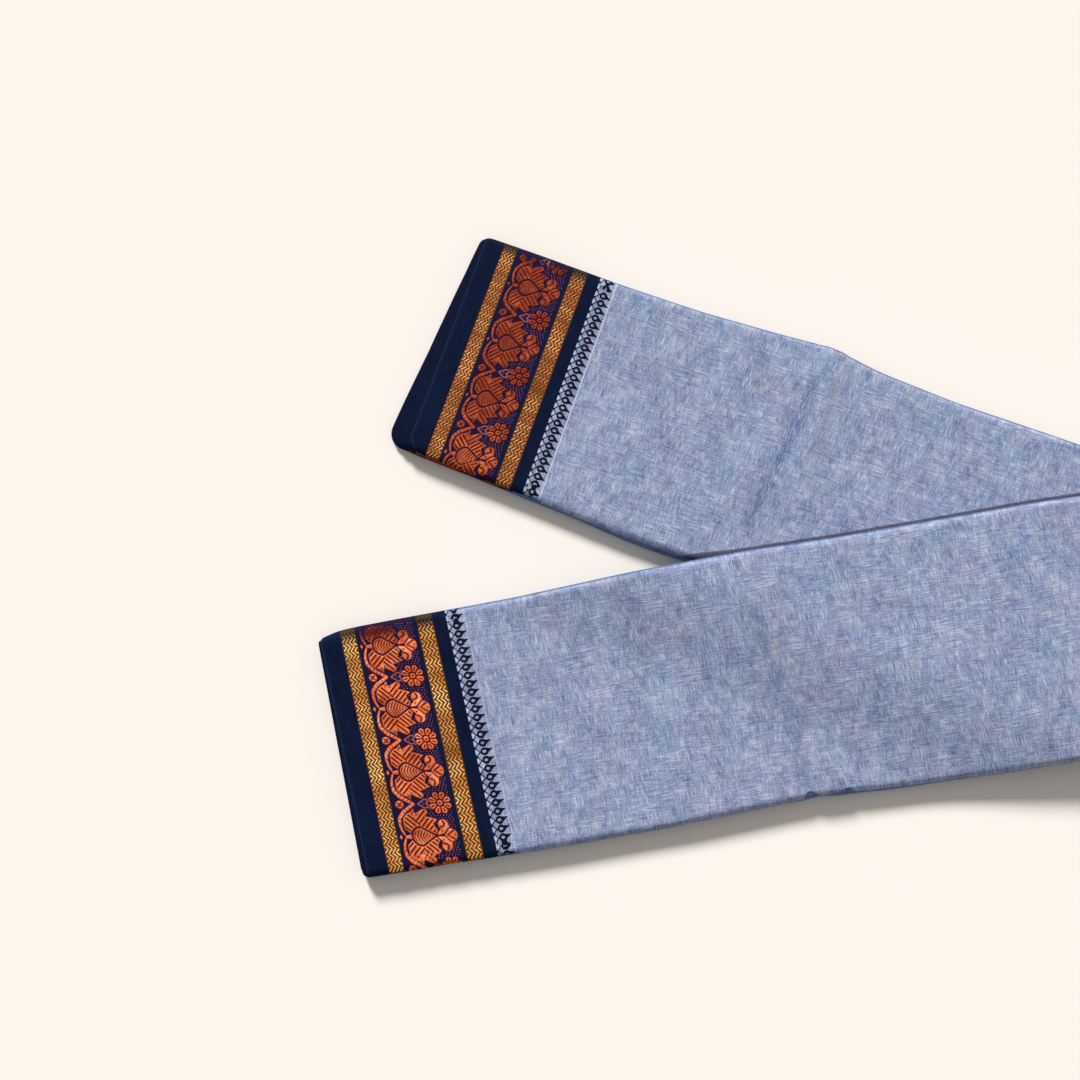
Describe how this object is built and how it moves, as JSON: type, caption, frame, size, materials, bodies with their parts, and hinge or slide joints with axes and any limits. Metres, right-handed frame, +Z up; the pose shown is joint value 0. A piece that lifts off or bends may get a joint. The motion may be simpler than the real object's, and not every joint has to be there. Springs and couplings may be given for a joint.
{
  "type": "cotton saree",
  "caption": "Cotton saree folded into a long flat strip and laid in a V, with a chambray blue field and a navy, gold and copper brocade border across each end.",
  "frame": {"origin": "middle of the footprint, on the surface that the folded saree lies on", "axes": "+Z up; +X from the two border ends toward the turn of the strip; +Y toward the arm that lies beneath"},
  "size_m": [0.5924, 0.4402, 0.023],
  "materials": {
    "field_cotton": "matt chambray cotton, uneven slub yarn",
    "navy_cotton": "close plain weave, nearly black navy",
    "gold_zari": "gold metallic thread in a zigzag weave",
    "copper_brocade": "copper metallic floats on a dark purple-navy ground",
    "temple_band": "pale blue cotton with a dark woven row of leaf tips",
    "hidden_leaves": "folded edges of the same cotton"
  },
  "bodies": {
    "root": {"under_arm_layers": "hidden_leaves", "under_arm_selvedge_navy": "navy_cotton", "under_arm_outer_zari": "gold_zari", "under_arm_brocade": "copper_brocade", "under_arm_inner_zari": "gold_zari", "under_arm_inner_navy": "navy_cotton", "under_arm_temple_band": "temple_band", "under_arm_field": "field_cotton", "over_arm_layers": "hidden_leaves", "over_arm_selvedge_navy": "navy_cotton", "over_arm_outer_zari": "gold_zari", "over_arm_brocade": "copper_brocade", "over_arm_inner_zari": "gold_zari", "over_arm_inner_navy": "navy_cotton", "over_arm_temple_band": "temple_band", "over_arm_field": "field_cotton", "turn_cloth": "field_cotton", "turn_layers": "hidden_leaves"}
  },
  "joints": []
}
